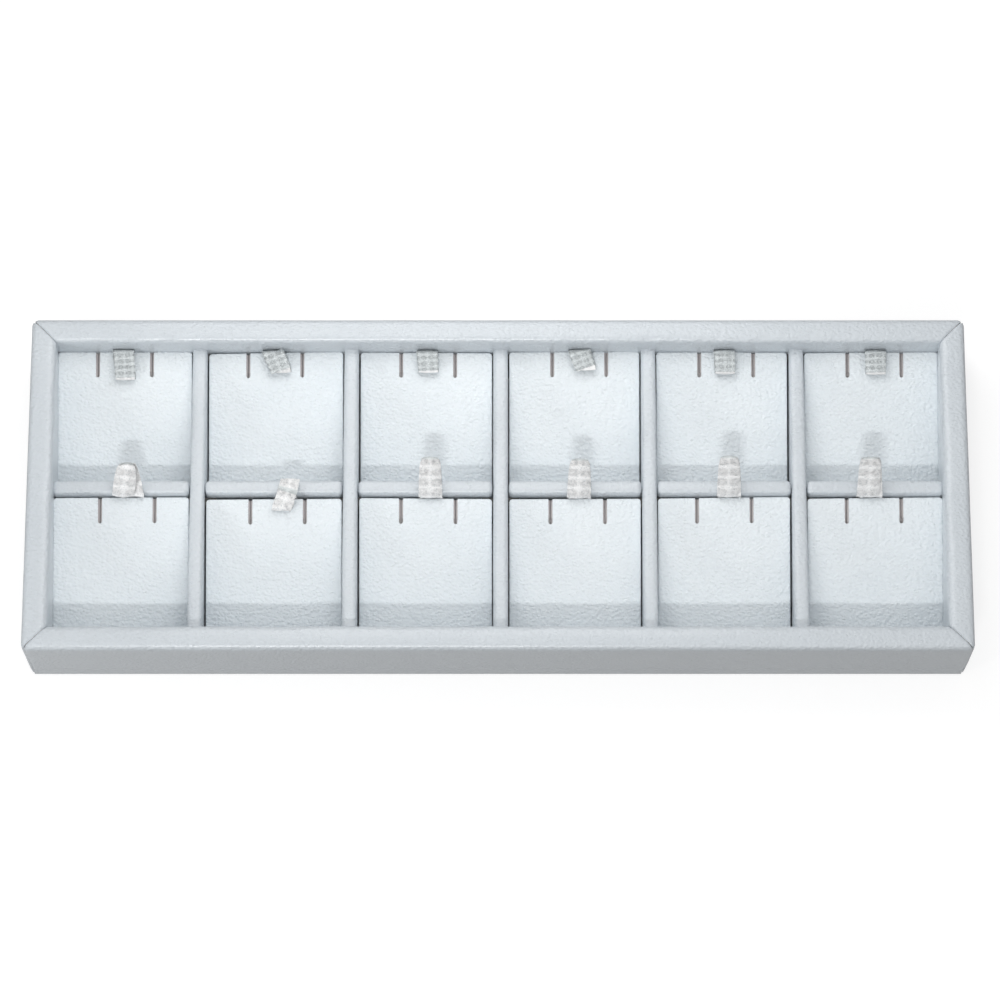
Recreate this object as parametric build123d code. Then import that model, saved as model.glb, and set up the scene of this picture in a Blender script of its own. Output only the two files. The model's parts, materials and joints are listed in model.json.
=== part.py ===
from build123d import *
import math
import os

# Earring tray: a shallow frame wrapped in leatherette, split by dividers and cross rails
# into two rows of six cells. Each cell has a sloping flap with two slots for earring posts,
# hinged along its lower edge and lifted by a loop of ribbon.
# Millimetres. +X runs along the tray, -Y is its front and +Z is up.
# The origin is the middle of the footprint, on the surface that the tray stands on.

# Tray
tray_width = 254.0
tray_depth = 94.5
tray_height = 24.5
wall_draft = 1.2            # how far each outer wall leans in at its foot
rail_width = 5.9            # across the top of the rim
rim_radius = 1.1            # rounding of the rim's long edges
corner_radius = 1.25        # upright corners of the frame
foot_radius = 0.8           # lower outside edge of the frame
frame_skin = 0.5            # leatherette on the frame, dividers and cross rails
mitre_gap = 0.1             # glue line between the mitred ends of the wooden cores

# Floor
lining_thickness = 0.5
board_thickness = 2.5
board_fit = 0.1             # around the base board and its lining

# Dividers and cross rails
bar_width = 4.0
bar_drop = 4.8              # their tops lie this far below the rim
bar_radius = 0.75           # rounding of their top edges
bar_end_radius = 0.9        # upright corners of their wrapped ends
divider_fit = 0.15          # at each end of a divider
cross_rail_fit = 0.2        # at each end of a cross rail
cross_rail_setback = 0.6    # the cross rails sit this far behind the middle
column_count = 6
divider_shift_shares = (0.011, 0.023, 0.017, 0.002, -0.009)     # of the pitch

# Flaps
flap_side_gap = 0.51        # beside a flap in the narrowest cell
flap_thickness = 1.6
flap_skin = 0.35            # leatherette on a flap
flap_floor_gap = 1.97       # least height of a flap above the floor
flap_top_drop = 6.6         # upper edge of a flap, below the rim
flap_top_gap = 0.95         # behind a flap's upper edge
flap_hinge_gap = 0.6        # in front of a rear flap's lower edge
flap_corner_radius = 0.8
flap_edge_radius = 0.35
flap_turn_in = 6.5          # width of the leatherette turned in under a flap
slot_width = 1.0
slot_length = 6.9
slot_spacing = 14.8

# Living hinges: a strip of leatherette from a flap's lower edge down to the floor
hinge_skin = 0.4
hinge_foot = 7.0            # length glued to the floor
hinge_run_gap = 0.2         # between the strip and the flap's edge

# Corner posts that the flaps come down on
post_width = 3.0
post_depth = 2.6
post_rest_gap = 0.3

# Ribbon pull tabs
ribbon_width = 6.0
ribbon_thickness = 0.18
ribbon_layer_gap = 0.04
ribbon_glue_length = 5.5    # stuck to the underside of the flap
ribbon_bend = 0.5           # where a loop leaves the flap's edge
ribbon_tip_share = 0.42     # of a loop's bulge, the bends at its tip
rear_tab_reach = 6.4
rear_tab_rise = 1.1
rear_tab_lean = 178.0       # degrees up from the flap's own slope
rear_tab_bulge = 1.5
rear_tab_reach_shares = (1.25, 0.95, 0.92, 0.86, 1.05, 1.05)
front_tab_reach = 11.0
front_tab_bend_drop = 0.35  # a front loop bends back this far below the cross rail's top
front_tab_bulge = 1.3
front_tab_reach_shares = (0.84, 0.55, 0.98, 0.95, 1.02, 1.0)
front_tab_bulge_shares = (1.3, 4.0, 1.0, 1.0, 1.0, 1.2)
front_tab_leans = (40.5, 102.5, 36.5, 36.5, 36.5, 37.5)     # degrees up from the floor

overrun = 5.0               # how far a cut runs past what it cuts

# Sizes that follow
floor_height = lining_thickness + board_thickness
well_width = tray_width - 2 * rail_width
well_depth = tray_depth - 2 * rail_width
column_pitch = (well_width + bar_width) / column_count
bar_top = tray_height - bar_drop
bar_height = bar_top - floor_height
rear_cell_depth = (well_depth - bar_width) / 2 - cross_rail_setback
flap_run = rear_cell_depth - flap_top_gap - flap_hinge_gap
flap_top_height = tray_height - flap_top_drop
hinge_height = floor_height + flap_floor_gap + flap_thickness
flap_rise = flap_top_height - hinge_height
flap_length = math.hypot(flap_run, flap_rise)
flap_slope = math.degrees(math.atan2(flap_rise, flap_run))
flap_drop_thickness = flap_thickness * flap_length / flap_run
front_tab_rise = flap_top_drop - bar_drop - front_tab_bend_drop

# Rows, by name: the face of the wall behind the row's flaps and the hinge line in front
rear_wall_y = well_depth / 2
cross_front_y = cross_rail_setback - bar_width / 2
row_walls = {"rear": rear_wall_y, "front": cross_front_y}
row_hinges = {}
for row, wall_y in row_walls.items():
    row_hinges[row] = wall_y - flap_top_gap - flap_run

# Columns: divider centres, then the sides of each cell
divider_places = []
for index in range(column_count - 1):
    share = index - (column_count - 2) / 2 + divider_shift_shares[index]
    divider_places.append(share * column_pitch)
cell_lefts = [-well_width / 2] + [place + bar_width / 2 for place in divider_places]
cell_rights = [place - bar_width / 2 for place in divider_places] + [well_width / 2]
cell_widths = [right - left for left, right in zip(cell_lefts, cell_rights)]
flap_width = min(cell_widths) - 2 * flap_side_gap

on_base = (Align.CENTER, Align.CENTER, Align.MIN)
os.makedirs("parts", exist_ok=True)


def save(name, solids):
    # one node: a single solid, or a group of separate ones
    shape = solids[0] if len(solids) == 1 else Compound(children=solids)
    export_step(shape, "parts/" + name + ".step")


def frame_section(inset, height):
    # the frame's outline at a height, inset from its outer face
    lean = wall_draft * (1 - height / tray_height)
    width = tray_width - 2 * (lean + inset)
    depth = tray_depth - 2 * (lean + inset)
    return Pos(0, 0, height) * RectangleRounded(width, depth, corner_radius - inset)


def frame_ring(inset, well_base):
    # the drafted frame block with its well, all rim edges rounded
    sections = [frame_section(inset, inset), frame_section(inset, tray_height - inset)]
    block = loft(sections, ruled=True)
    well = Box(well_width + 2 * inset, well_depth + 2 * inset, tray_height, align=on_base)
    ring = block - Pos(0, 0, well_base) * well
    ring = fillet(ring.edges().group_by(Axis.Z)[-1], rim_radius - inset)
    return ring


def mitre_wedge(side, gap):
    # the upright prism that holds one side of the frame, between its two mitres
    half = {"front": tray_width, "rear": tray_width, "left": tray_depth, "right": tray_depth}[side] / 2
    reach = {"front": tray_depth, "rear": tray_depth, "left": tray_width, "right": tray_width}[side] / 2
    turn = {"front": 0, "right": 90, "rear": 180, "left": 270}[side]
    inner = 2 * rail_width
    back = gap / math.sqrt(2)
    outline = Polygon(
        (-half - overrun + back, -reach - overrun), (half + overrun - back, -reach - overrun),
        (half - inner - back, -reach + inner), (-half + inner + back, -reach + inner), align=None)
    return Rot(0, 0, turn) * extrude(outline, tray_height)


def wrapped_bar(length, along):
    # a wooden strip on edge and the leatherette over its top, sides and ends
    size = (length, bar_width) if along == "x" else (bar_width, length)
    outer = Box(size[0], size[1], bar_height, align=on_base)
    outer = fillet(outer.edges().filter_by(Axis.Z), bar_end_radius)
    outer = fillet(outer.edges().group_by(Axis.Z)[-1], bar_radius)
    core = Box(size[0] - 2 * frame_skin, size[1] - 2 * frame_skin, bar_height - frame_skin, align=on_base)
    core = fillet(core.edges().filter_by(Axis.Z), bar_end_radius - frame_skin)
    return outer - core, core


# Frame: four mitred wooden rails and their leatherette covers
core_ring = frame_ring(frame_skin, 0)
floor_block = Box(well_width + 2 * frame_skin, well_depth + 2 * frame_skin, floor_height, align=on_base)
outer_ring = frame_ring(0, floor_height)
outer_ring = fillet(outer_ring.edges().group_by(Axis.Z)[0], foot_radius)
cover_ring = outer_ring - core_ring - floor_block
rail_cores = []
for side in ("front", "rear", "left", "right"):
    save(side + "_rail_cover", [cover_ring & mitre_wedge(side, 0)])
    rail_cores.append(core_ring & mitre_wedge(side, mitre_gap))
save("rail_cores", rail_cores)

# Floor: a rigid board between the rails, with a lining under it
floor_size = (well_width + 2 * frame_skin - 2 * board_fit, well_depth + 2 * frame_skin - 2 * board_fit)
save("base_board", [Pos(0, 0, lining_thickness) * Box(*floor_size, board_thickness, align=on_base)])
save("base_lining", [Box(*floor_size, lining_thickness, align=on_base)])

# Dividers, from the rear rail to the front rail
divider_cores = []
divider_cover, divider_core = wrapped_bar(well_depth - 2 * divider_fit, "y")
for index, place in enumerate(divider_places):
    spot = Pos(place, 0, floor_height)
    save("divider_" + str(index + 1), [spot * divider_cover])
    divider_cores.append(spot * divider_core)
save("divider_cores", divider_cores)

# Cross rails, one in each column
cross_rail_cores = []
for index in range(column_count):
    length = cell_widths[index] - 2 * cross_rail_fit
    middle = (cell_rights[index] + cell_lefts[index]) / 2
    cross_cover, cross_core = wrapped_bar(length, "x")
    spot = Pos(middle, cross_rail_setback, floor_height)
    save("cross_rail_" + str(index + 1), [spot * cross_cover])
    cross_rail_cores.append(spot * cross_core)
save("cross_rail_cores", cross_rail_cores)


def underside_height(y, hinge_y):
    # the height of a resting flap's underside at a place along Y
    return hinge_height - flap_drop_thickness + (y - hinge_y) * flap_rise / flap_run


def corner_post(wall_y, hinge_y):
    # an upright strip whose top follows the flap's underside, outline in Y and Z
    front_y = wall_y - post_depth
    outline = Polygon(
        (wall_y, floor_height), (front_y, floor_height),
        (front_y, underside_height(front_y, hinge_y) - post_rest_gap),
        (wall_y, underside_height(wall_y, hinge_y) - post_rest_gap), align=None)
    return extrude(Plane.YZ * outline, post_width, dir=(1, 0, 0))


def hinge_strip(hinge_y):
    # an L of leatherette: a leg beside the flap's lower edge and a foot on the floor
    leg_y = hinge_y - hinge_run_gap - hinge_skin
    outline = Polygon(
        (leg_y, floor_height), (leg_y + hinge_foot, floor_height),
        (leg_y + hinge_foot, floor_height + hinge_skin),
        (leg_y + hinge_skin, floor_height + hinge_skin),
        (leg_y + hinge_skin, hinge_height), (leg_y, hinge_height), align=None)
    return extrude(Plane.YZ * outline, flap_width / 2, both=True)


# Corner posts and living hinges, a group for each row
for row, wall_y in row_walls.items():
    posts = []
    strips = []
    for index in range(column_count):
        post = corner_post(wall_y, row_hinges[row])
        posts.append(Pos(cell_lefts[index], 0, 0) * post)
        posts.append(Pos(cell_rights[index] - post_width, 0, 0) * post)
        middle = (cell_rights[index] + cell_lefts[index]) / 2
        strips.append(Pos(middle, 0, 0) * hinge_strip(row_hinges[row]))
    save(row + "_corner_posts", posts)
    save(row + "_flap_hinges", strips)


def flap_slots():
    # two slots with round ends, open at the flap's upper edge
    straight = slot_length - slot_width / 2
    cut_height = flap_thickness + 2 * overrun
    slots = []
    for side in (-1, 1):
        x = side * slot_spacing / 2
        end_y = flap_length - straight
        run = Pos(x, end_y, -flap_thickness - overrun) * Box(
            slot_width, straight + overrun, cut_height, align=(Align.CENTER, Align.MIN, Align.MIN))
        end = Pos(x, end_y, -flap_thickness - overrun) * Cylinder(slot_width / 2, cut_height, align=on_base)
        slots.append(run + end)
    return slots


def flat_flap():
    # a flap lying flat, its hinge line on the X axis: the stiff board and its leatherette
    low_edge = (Align.CENTER, Align.MIN, Align.MIN)
    outer = Pos(0, 0, -flap_thickness) * Box(flap_width, flap_length, flap_thickness, align=low_edge)
    outer = fillet(outer.edges().filter_by(Axis.Z), flap_corner_radius)
    rims = outer.edges().group_by(Axis.Z)
    outer = fillet(list(rims[0]) + list(rims[-1]), flap_edge_radius)
    board_width = flap_width - 2 * flap_skin
    board_length = flap_length - 2 * flap_skin
    board_height = flap_thickness - 2 * flap_skin
    board = Pos(0, flap_skin, flap_skin - flap_thickness) * Box(
        board_width, board_length, board_height, align=low_edge)
    board = fillet(board.edges().filter_by(Axis.Z), flap_corner_radius - flap_skin)
    window = Pos(0, flap_turn_in, -flap_thickness) * Box(
        flap_width - 2 * flap_turn_in, flap_length - 2 * flap_turn_in, flap_skin, align=low_edge)
    cover = outer - board - window
    for slot in flap_slots():
        cover = cover - slot
        board = board - slot
    return board, cover


def ribbon_loop(reach, rise, lean, bulge):
    # a strip of ribbon stuck under the flap's upper edge at both ends, in the flat flap's frame
    half = ribbon_thickness / 2
    layer = ribbon_thickness + ribbon_layer_gap
    near_y = flap_length + ribbon_layer_gap + half
    near_z = -flap_thickness - half
    angle = math.radians(lean)
    ahead = (math.cos(angle), math.sin(angle))
    aside = (-math.sin(angle), math.cos(angle))
    root_y = near_y + layer / 2
    tip = (root_y + reach * ahead[0], rise + reach * ahead[1])
    lift = layer * ahead[0]
    points = [
        (flap_length - ribbon_glue_length, near_z),
        (near_y, near_z),
        (near_y, rise + lift),
        (tip[0] + aside[0] * bulge / 2, tip[1] + aside[1] * bulge / 2),
        (tip[0] - aside[0] * bulge / 2, tip[1] - aside[1] * bulge / 2),
        (near_y + layer, rise - lift),
        (near_y + layer, near_z - layer),
        (flap_length - ribbon_glue_length, near_z - layer)]
    inner_bend = half + ribbon_layer_gap
    tip_bend = ribbon_tip_share * bulge
    bends = [inner_bend, ribbon_bend, tip_bend, tip_bend, ribbon_bend, inner_bend + layer]
    path = FilletPolyline(*[(0, y, z) for y, z in points], radius=bends)
    start = Plane(origin=path @ 0, x_dir=(1, 0, 0), z_dir=path % 0)
    return sweep(start * Rectangle(ribbon_width, ribbon_thickness), path=path)


# Flaps: board, leatherette and pull tab, twelve times
flap_board, flap_cover = flat_flap()
for row in ("rear", "front"):
    for index in range(column_count):
        middle = (cell_rights[index] + cell_lefts[index]) / 2
        spot = Pos(middle, row_hinges[row], hinge_height) * Rot(flap_slope, 0, 0)
        name = row + "_flap_" + str(index + 1)
        if row == "rear":
            reach = rear_tab_reach * rear_tab_reach_shares[index]
            tab = ribbon_loop(reach, rear_tab_rise, rear_tab_lean, rear_tab_bulge)
        else:
            reach = front_tab_reach * front_tab_reach_shares[index]
            bulge = front_tab_bulge * front_tab_bulge_shares[index]
            lean = front_tab_leans[index] - flap_slope
            tab = ribbon_loop(reach, front_tab_rise, lean, bulge)
        save(name + "_board", [spot * flap_board])
        save(name + "_cover", [spot * flap_cover])
        save(name + "_tab", [spot * tab])

print("flap width", round(flap_width, 3), "length", round(flap_length, 3), "slope", round(flap_slope, 3))
print("hinge height", round(hinge_height, 3))
for row in row_hinges:
    print(row, "hinge y", round(row_hinges[row], 3))
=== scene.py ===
import bpy
import json
import math
from mathutils import Matrix, Vector, noise


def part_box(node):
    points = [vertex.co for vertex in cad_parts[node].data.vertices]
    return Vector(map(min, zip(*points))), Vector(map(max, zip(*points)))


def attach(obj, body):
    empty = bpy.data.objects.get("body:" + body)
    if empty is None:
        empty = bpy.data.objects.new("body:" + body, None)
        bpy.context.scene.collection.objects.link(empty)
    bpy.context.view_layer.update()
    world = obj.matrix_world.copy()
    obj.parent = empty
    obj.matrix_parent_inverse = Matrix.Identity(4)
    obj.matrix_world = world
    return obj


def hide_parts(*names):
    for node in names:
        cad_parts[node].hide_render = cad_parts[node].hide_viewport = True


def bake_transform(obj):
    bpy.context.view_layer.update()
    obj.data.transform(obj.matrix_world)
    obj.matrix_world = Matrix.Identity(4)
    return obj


# Earring tray: wrapped frame, dividers, cross rails and twelve hinged flaps with ribbon loops
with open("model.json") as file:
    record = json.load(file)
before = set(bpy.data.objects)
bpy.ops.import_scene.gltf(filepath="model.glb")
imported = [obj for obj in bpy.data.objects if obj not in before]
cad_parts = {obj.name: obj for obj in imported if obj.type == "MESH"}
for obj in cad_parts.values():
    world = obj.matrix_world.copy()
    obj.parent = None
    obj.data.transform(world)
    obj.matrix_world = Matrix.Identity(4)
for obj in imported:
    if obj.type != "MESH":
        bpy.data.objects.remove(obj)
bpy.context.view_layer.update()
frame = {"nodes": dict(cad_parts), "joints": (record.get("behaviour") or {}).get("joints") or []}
mm = 0.001
bpy.context.scene.view_settings.view_transform = "Standard"
print("frame loaded,", len(frame["nodes"]), "nodes")


def addNode(tree, kind, inputs=None, **settings):
    # one node of a tree, with its settings and with values or links on its inputs
    made = tree.nodes.new(kind)
    for key, value in settings.items():
        setattr(made, key, value)
    for key, value in (inputs or {}).items():
        if isinstance(value, bpy.types.NodeSocket):
            tree.links.new(value, made.inputs[key])
        else:
            made.inputs[key].default_value = value
    return made


def mathOn(tree):
    # a function that adds one maths node to this tree and gives its output
    def calc(operation, *values):
        return addNode(tree, "ShaderNodeMath", dict(enumerate(values)), operation=operation).outputs[0]
    return calc


def vectorsOn(tree):
    # the same for vectors, where a second value of SCALE is a number
    def vector(operation, *values):
        inputs = {0: values[0], "Scale": values[1]} if operation == "SCALE" else dict(enumerate(values))
        made = addNode(tree, "ShaderNodeVectorMath", inputs, operation=operation)
        return made.outputs["Value" if operation in ("LENGTH", "DOT_PRODUCT") else "Vector"]
    return vector


def joinAxes(tree, x, y, z):
    return addNode(tree, "ShaderNodeCombineXYZ", {"X": x, "Y": y, "Z": z}).outputs[0]


def splitAxes(tree, vector):
    return addNode(tree, "ShaderNodeSeparateXYZ", {0: vector}).outputs


def mapRange(tree, value, fromRange=(0.0, 1.0), toRange=(0.0, 1.0)):
    ends = {"From Min": fromRange[0], "From Max": fromRange[1], "To Min": toRange[0], "To Max": toRange[1]}
    return addNode(tree, "ShaderNodeMapRange", {"Value": value, **ends}).outputs[0]


def addNoise(tree, place, scale, detail, roughness=0.5):
    inputs = {"Vector": place, "Scale": scale, "Detail": detail, "Roughness": roughness}
    return addNode(tree, "ShaderNodeTexNoise", inputs).outputs


def mixTones(tree, share, low, high):
    made = addNode(tree, "ShaderNodeMix", {"Factor": share, "A": low, "B": high}, data_type="RGBA")
    return made.outputs["Result"]


def addPiece(name, points, faces):
    mesh = bpy.data.meshes.new(name)
    mesh.from_pydata(points, [], faces)
    mesh.update()
    piece = bpy.data.objects.new(name, mesh)
    bpy.context.scene.collection.objects.link(piece)
    return piece


def settle(piece, sharpAngle=40):
    # what the modifiers make becomes the piece's own plain mesh
    graph = bpy.context.evaluated_depsgraph_get()
    mesh = bpy.data.meshes.new_from_object(piece.evaluated_get(graph))
    piece.modifiers.clear()
    piece.data = mesh
    mesh.name = piece.name
    mesh.shade_smooth()
    mesh.set_sharp_from_angle(angle=math.radians(sharpAngle))


def thicken(piece, thickness, offset=-1, even=True):
    wall = piece.modifiers.new("wall", "SOLIDIFY")
    wall.thickness = thickness
    wall.offset = offset
    wall.use_even_offset = even


def bump(mesh, amounts):
    # moves each point along its normal, by the amounts given
    normals = [vertex.normal.copy() for vertex in mesh.vertices]
    for vertex, normal, amount in zip(mesh.vertices, normals, amounts):
        vertex.co += normal * amount
    mesh.update()


def wave(point, size, seed=0.0):
    # smooth noise from -1 to 1, with waves about this long
    return noise.noise(Vector(point) / size + Vector((seed, seed * 1.7, 0)))


def quarter(count):
    # shares of a quarter turn, as sine and cosine
    angles = [math.pi / 2 * i / count for i in range(count + 1)]
    return [(math.sin(angle), math.cos(angle)) for angle in angles]


def between(low, high, count):
    return [low + (high - low) * i / count for i in range(1, count)]


def gridFaces(lines, count, turned=False):
    # quads between lines of count points each, which face the other way when turned
    faces = []
    for i in range(lines - 1):
        for j in range(count - 1):
            a = i * count + j
            quad = (a, a + count, a + count + 1, a + 1)
            faces.append((a, *quad[:0:-1]) if turned else quad)
    return faces


# Camera, light and floor
camera = {"aim": (0.54 * mm, -0.44 * mm, 12 * mm), "distance": 1.350, "elevation": 69.5, "lens": 178.292,
          "clipEnd": 20}
light = {"horizon": 0.03, "zenith": 0.785}
floorLook = {"size": 3.0, "drop": -0.05 * mm, "glow": 0.70, "seen": 0.42, "bounce": 0.07, "mirrored": 0.66}


def polar(azimuth, elevation):
    # a direction, azimuth 0 being the front
    a, e = math.radians(azimuth), math.radians(elevation)
    return Vector((math.sin(a) * math.cos(e), -math.cos(a) * math.cos(e), math.sin(e)))


# the key is a strip, so that shadows are softer sideways than lengthwise
softboxes = {"key": {"place": polar(-5, 50) * 1.6, "size": (0.24, 0.06), "power": 5.25},
             "over": {"place": (-0.015, 0.12, 0.23), "size": (0.18, 0.18), "power": 0.225},
             "side": {"place": (-0.42, -0.32, 0.14), "size": (0.1, 0.1), "power": 0.58}}


def addCamera():
    data = bpy.data.cameras.new("camera")
    data.lens = camera["lens"]
    data.clip_end = camera["clipEnd"]
    seat = bpy.data.objects.new("camera", data)
    back = polar(0, camera["elevation"])
    seat.location = Vector(camera["aim"]) + back * camera["distance"]
    seat.rotation_euler = (-back).to_track_quat("-Z", "Y").to_euler()
    bpy.context.scene.collection.objects.link(seat)
    bpy.context.scene.camera = seat


def addLights():
    for name, look in softboxes.items():
        area = bpy.data.lights.new(name, "AREA")
        area.energy = look["power"]
        area.shape = "RECTANGLE"
        area.size, area.size_y = look["size"]
        box = bpy.data.objects.new(name, area)
        box.location = look["place"]
        box.visible_camera = False
        box.rotation_euler = (-Vector(look["place"])).to_track_quat("-Z", "Y").to_euler()
        bpy.context.scene.collection.objects.link(box)


def addWorld():
    # white to the camera, mirrors and clear things, and as light dim at the horizon and bright overhead
    world = bpy.data.worlds.new("studio")
    bpy.context.scene.world = world
    world.use_nodes = True
    tree = world.node_tree
    calc = mathOn(tree)
    ray = addNode(tree, "ShaderNodeLightPath").outputs
    seen = calc("MAXIMUM", ray["Is Camera Ray"], ray["Is Transmission Ray"])
    seen = calc("MAXIMUM", seen, ray["Is Glossy Ray"])
    toward = addNode(tree, "ShaderNodeTexCoord").outputs["Generated"]
    sky = mapRange(tree, splitAxes(tree, toward)["Z"], toRange=(light["horizon"], light["zenith"]))
    level = mapRange(tree, seen, toRange=(sky, 1.0))
    shade = tree.nodes["Background"]
    shade.inputs["Color"].default_value = (1, 1, 1, 1)
    tree.links.new(level, shade.inputs["Strength"])


def addFloor():
    half, drop = floorLook["size"], floorLook["drop"]
    corners = [(-half, -half, drop), (half, -half, drop), (half, half, drop), (-half, half, drop)]
    floor = addPiece("floor", corners, [(0, 1, 2, 3)])
    material = bpy.data.materials.new("paleFloor")
    material.use_nodes = True
    tree = material.node_tree
    tree.nodes.clear()
    calc = mathOn(tree)
    # the camera and clear things see it white, mirrors in part, and the object's own light finds it dark
    ray = addNode(tree, "ShaderNodeLightPath").outputs
    mirrored = calc("MULTIPLY", ray["Is Glossy Ray"], floorLook["mirrored"])
    seen = calc("MAXIMUM", ray["Is Camera Ray"], mirrored)
    seen = calc("MAXIMUM", seen, ray["Is Transmission Ray"])
    matt, pale = [addNode(tree, "ShaderNodeBsdfDiffuse", {"Color": (tone, tone, tone, 1)}).outputs[0]
                  for tone in (floorLook["bounce"], floorLook["seen"])]
    glow = addNode(tree, "ShaderNodeEmission", {"Color": (1, 1, 1, 1), "Strength": floorLook["glow"]})
    both = addNode(tree, "ShaderNodeAddShader", {0: pale, 1: glow.outputs[0]}).outputs[0]
    mix = addNode(tree, "ShaderNodeMixShader", {0: seen, 1: matt, 2: both}).outputs[0]
    addNode(tree, "ShaderNodeOutputMaterial", {"Surface": mix})
    floor.data.materials.append(material)


addCamera()
addLights()
addWorld()
addFloor()
print("camera, lights and floor made")


# Finishes
# the frame wears the same leatherette as the flaps, painted darker: partly a darker tone, partly painted shade
# for its shaded outer walls
frameLeather = {"color": (0.65, 0.695, 0.73), "dark": (0.61, 0.655, 0.695), "depth": 0.32 * mm,
                "roughness": 0.38, "coat": 0.60}
flapLeather = {"color": (0.87, 0.915, 0.94), "dark": (0.79, 0.845, 0.88), "depth": 0.42 * mm,
               "roughness": 0.42, "coat": 0.10}
# the grain of both: its cells and how they are bent, the finer noise over them, broad patches of tone, and the
# painted shade in its creases
grain = {"size": 0.75 * mm, "stretch": 0.8, "bends": 0.6, "push": 0.9, "smoothness": 0.7, "crease": 0.75,
         "fine": 1.6, "fineShare": 0.45, "patches": 45, "patchRange": (0.3, 0.7), "shade": 0.5,
         "shadeBase": 0.35, "duller": 0.08, "glossier": 0.06, "coatRoughness": 0.20}
# the same silver ribbon in both rows: the rear row's is smooth and painted darker, as painted shade, the front
# row's crumpled, sparkling and painted white, as painted light
ribbonLooks = {
    # tip is the tone painted on the loop's folded tip: white as a painted highlight on the rear row, darker as
    # painted shade on the front row
    "rear": {"color": (0.62, 0.655, 0.66), "dark": (0.43, 0.46, 0.47), "tip": (1.0, 1.0, 1.0),
             "thread": 0.26 * mm, "depth": 0.09 * mm, "roughness": 0.36, "metal": 0.38,
             "speck": (0.38, 0.62), "index": 1.5},
    "front": {"color": (1.0, 1.0, 1.0), "dark": (0.80, 0.82, 0.825), "tip": (0.70, 0.74, 0.745),
              "thread": 0.48 * mm, "depth": 0.11 * mm, "roughness": 0.22, "metal": 0.0,
              "speck": (0.37, 0.47), "index": 1.35}}
# scales of threads and specks for a thread of 1, how wavy the threads are, and where the painted light on the
# tip's fold begins
weave = {"along": 0.05, "alongWavy": 2.0, "across": 0.04, "acrossWavy": 3.0, "specks": 1.1, "relief": 0.8,
         "foldRange": (0.6, 1.0)}
# the board is painted lighter than greyboard, as painted light in the deep slots where it shows
boardLook = {"color": (0.56, 0.53, 0.53), "fleck": (0.62, 0.59, 0.59), "fibre": 0.5 * mm,
             "depth": 0.03 * mm}
paperLook = {"color": (0.80, 0.80, 0.785), "fleck": (0.74, 0.74, 0.725), "fibre": 0.7 * mm,
             "depth": 0.02 * mm}
fibrous = {"fleckRange": (0.35, 0.65), "roughness": 0.9}
woodLook = {"color": (0.62, 0.49, 0.34), "ring": (0.50, 0.37, 0.24)}
# the corner posts' wood, painted near black as painted shade in the gaps beside the flaps
postShadeLook = {"color": (0.15, 0.14, 0.13), "ring": (0.10, 0.095, 0.09)}
wood = {"grain": 3 * mm, "rings": 0.3, "wavy": 5, "stretch": (1, 1, 6), "depth": 0.03 * mm, "roughness": 0.7}


def startMaterial(name):
    material = bpy.data.materials.new(name)
    material.use_nodes = True
    tree = material.node_tree
    place = addNode(tree, "ShaderNodeTexCoord").outputs["Object"]
    return material, tree, tree.nodes["Principled BSDF"], place


def joinBump(tree, shader, height, depth, strength=1.0):
    relief = addNode(tree, "ShaderNodeBump", {"Height": height, "Distance": depth, "Strength": strength})
    tree.links.new(relief.outputs[0], shader.inputs["Normal"])


def makeLeather(name, look):
    # fine pebbled grain: bent cells with creases between them, over a softer unevenness, the creases darkened
    # as painted shade
    material, tree, shader, place = startMaterial(name)
    calc, vector = mathOn(tree), vectorsOn(tree)
    size = grain["size"]
    stretch = (grain["stretch"], 1, 1)
    place = addNode(tree, "ShaderNodeMapping", {"Vector": place, "Scale": stretch}).outputs[0]
    bend = vector("SUBTRACT", addNoise(tree, place, grain["bends"] / size, 2)["Color"], (0.5, 0.5, 0.5))
    bent = vector("ADD", place, vector("SCALE", bend, grain["push"] * size))
    cells = addNode(tree, "ShaderNodeTexVoronoi",
                    {"Vector": bent, "Scale": 1 / size, "Smoothness": grain["smoothness"]},
                    feature="SMOOTH_F1")
    pebbles = mapRange(tree, cells.outputs["Distance"], (0.0, grain["crease"]), (1.0, 0.0))
    fine = addNoise(tree, place, grain["fine"] / size, 4, 0.6)[0]
    both = {"Factor": grain["fineShare"], "A": pebbles, "B": fine}
    height = addNode(tree, "ShaderNodeMix", both).outputs[0]
    joinBump(tree, shader, height, look["depth"])
    patches = mapRange(tree, addNoise(tree, place, grain["patches"], 3)[0], grain["patchRange"])
    # painted shade: the colour darkens where the grain sinks into its creases
    creaseShade = calc("MULTIPLY_ADD", height, grain["shade"], grain["shadeBase"])
    color = mixTones(tree, calc("MULTIPLY", patches, creaseShade), (*look["dark"], 1), (*look["color"], 1))
    tree.links.new(color, shader.inputs["Base Color"])
    ends = (look["roughness"] + grain["duller"], look["roughness"] - grain["glossier"])
    tree.links.new(mapRange(tree, fine, toRange=ends), shader.inputs["Roughness"])
    shader.inputs["Coat Weight"].default_value = look["coat"]
    shader.inputs["Coat Roughness"].default_value = grain["coatRoughness"]
    return material


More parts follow.
